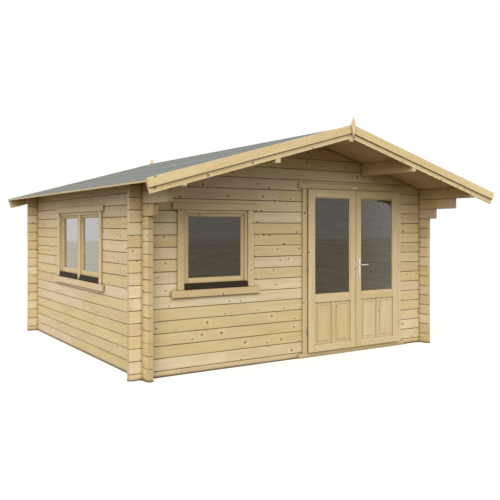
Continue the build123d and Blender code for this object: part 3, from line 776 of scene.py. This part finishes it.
# Zinc plate: a warm half-dull grey, mottled over 3 mm by its crystals.
zinc = metal("zinc_plate", ("#B0A896", "#958E7E"), 0.42, 0.003)
hinge_heights = (0.300, 1.060, 1.800)
barrel, radius = 0.0347, 0.0055
joints = {joint["name"]: joint for joint in frame["record"]["behaviour"]["joints"]}
trim_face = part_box("door_trim")[0].y
for side in ("left", "right"):
    x, y, _ = joints[side + "_door_hinge"]["pos_m"]
    lower = [(0.0025, -barrel), (radius * 0.8, 0.0008 - barrel),
             (radius, 0.0025 - barrel), (radius, -0.0006), (radius * 0.9, 0.0)]
    upper = [(radius * 0.9, 0.0003), (radius, 0.0009), (radius, barrel - 0.0025),
             (radius * 0.8, barrel - 0.0008), (0.0025, barrel)]
    pin = [(0.0034, 0.0), (0.0034, barrel - 0.003)]
    arm = [(0.0029, 0.0), (0.0029, trim_face - y - slack)]
    pins, sockets = [], []
    for z in hinge_heights:
        pins += [turned(lower, (x, y, z), 2), turned(pin, (x, y, z), 2, 16),
                 turned(arm, (x, y, z - barrel / 2), 1, 16)]
        sockets.append(turned(upper, (x, y, z), 2))
    raise_mesh(side + "_hinge_barrels", joined(pins), "cabin", [zinc],
               [side + "_hinge_pins"], smooth=True)
    raise_mesh(side + "_hinge_sockets", joined(sockets), side + "_door",
               [zinc], [side + "_hinge_knuckles"], smooth=True)

# Lock. A satin nickel plate on each face of the right leaf carries the lever and, below
# it, the round end of the key cylinder. The lever is one bent and flattened rod.

# Satin nickel: pale and faintly warm, with a soft broken mirror from brushing.
nickel = metal("satin_nickel", ("#E6E4DF", "#D4D2CC"), 0.26, 0.0015)


def rounded_plate(low, high, face, out, thickness, corner=0.006):
    """Plate with rounded corners and a softened rim: the corners' arcs, drawn in by four
    insets at rising heights from the face."""
    turn = np.linspace(0, math.pi / 2, 7)
    quarter = np.arange(4)[:, None] * math.pi / 2
    angle = (quarter + turn).ravel()
    signs = np.array([(1, 1), (-1, 1), (-1, -1), (1, -1)]).repeat(7, 0)
    middle, half = (low + high) / 2, (high - low) / 2 - corner
    rings = []
    for inset, height in ((0, 0), (0, 0.75), (0.0005, 0.93), (0.0013, 1.0)):
        radius = corner - inset
        outline = middle + signs * half + radius * np.stack([np.cos(angle),
                                                             np.sin(angle)], 1)
        rings.append(np.insert(outline, 1, face + out * thickness * height, axis=1))
    return lofted(np.stack(rings))


def lever_grip(centre, out, sides=24):
    """Lever on one face of the leaf: an ellipse carried along a path that runs 48 mm out
    from the leaf, with a quarter circle of 16 mm, and 106 mm along it to the tip. It
    grows flatter along the path and closes over the last two stations."""
    stand, length, bend = 0.048, 0.106, 0.016
    turn = np.linspace(0, math.pi / 2, 9)
    neck = np.stack([np.zeros(3), np.linspace(0.0, stand - bend - 0.001, 3)], 1)
    arc = np.stack([bend - bend * np.cos(turn), stand - bend + bend * np.sin(turn)], 1)
    run = np.linspace(bend + 0.004, length - 0.001, 12)
    grip = np.stack([run, np.full(12, stand)], 1)
    tip = length - 0.001 + np.array([0.0006, 0.0010])
    path = np.concatenate([neck, arc, grip, np.stack([tip, [stand, stand]], 1)])
    lean = np.gradient(path, axis=0)
    lean /= np.linalg.norm(lean, axis=1)[:, None]
    along = np.linspace(0, 1, len(path))
    thick = np.interp(along, (0, 0.3, 0.55, 1), (0.0075, 0.0070, 0.0055, 0.0050))
    tall = np.interp(along, (0, 0.3, 0.55, 1), (0.0075, 0.0075, 0.0090, 0.0080))
    thick[-2:] *= (0.85, 0.5)
    tall[-2:] *= (0.9, 0.6)
    angle = np.linspace(0, 2 * math.pi, sides, endpoint=False)
    across = thick[:, None] * np.cos(angle)
    rings = np.empty((len(path), sides, 3))
    rings[..., 0] = path[:, :1] - lean[:, 1:] * across
    rings[..., 1] = out * (path[:, 1:] + lean[:, :1] * across)
    rings[..., 2] = tall[:, None] * np.sin(angle)
    return lofted(rings + centre)


lever_x, _, lever_z = joints["lever_turn"]["pos_m"]
cylinder_drop, screw_inset = 0.092, 0.013
plate_lows, plate_highs = solid_boxes("lock_plates")
outer_first = np.argsort(plate_lows[:, 1])
plate_lows, plate_highs = plate_lows[outer_first], plate_highs[outer_first]
plate_parts, lever_parts = [], []
for low, high, out in zip(plate_lows, plate_highs, (-1, 1)):
    face, rim = (high[1], low[1]) if out < 0 else (low[1], high[1])
    plate_parts.append(rounded_plate(low[[0, 2]], high[[0, 2]], face, out,
                                     high[1] - low[1]))
    middle = (low[0] + high[0]) / 2
    cylinder = [(0.0085, 0.0), (0.0085, out * 0.003), (0.0075, out * 0.0038)]
    collar = [(0.0125, 0.0), (0.0125, out * 0.004), (0.0110, out * 0.0052)]
    screw = [(0.0038, 0.0), (0.0034, out * 0.0009), (0.0015, out * 0.0015)]
    plate_parts += [turned(cylinder, (middle, rim, lever_z - cylinder_drop), 1),
                    turned(collar, (middle, rim, lever_z), 1)]
    plate_parts += [turned(screw, (middle, rim, z), 1, 16)
                    for z in (low[2] + screw_inset, high[2] - screw_inset)]
    lever_parts.append(lever_grip((lever_x, rim + out * slack, lever_z), out))
raise_mesh("lock_faceplates", joined(plate_parts), "right_door", [nickel],
           ["lock_plates"], smooth=True)
spindle = plate_highs[1][1] - plate_lows[0][1]
lever_parts.append(turned([(0.0042, 0.0), (0.0042, spindle)],
                          (lever_x, plate_lows[0][1], lever_z), 1, 16))
raise_mesh("lever_pair", joined(lever_parts), "lever", [nickel],
           ["lever_handle"], smooth=True)

# Plate. A small blank oval of cream enamel, pinned to the board over the door.

# Enamel: glossy cream, clouded over 17 mm where the glaze lies thinner.
enamel = clouded("cream_enamel", ("#F2EBD8", "#E4DAC2"), 60.0, 0.25)
plate_height, stretch = 2.073, 2.9
oval = turned([(0.0165, 0.0), (0.0165, -0.0014), (0.0157, -0.0022), (0.0010, -0.0030)],
              (0, 0, 0), 1, 40)
oval["points"] = oval["points"] * (stretch, 1, 1) + (
    (leaf_low.x + leaf_high.x) / 2, trim_face - slack, plate_height)
raise_mesh("blank_plate", oval, "cabin", [enamel], smooth=True)
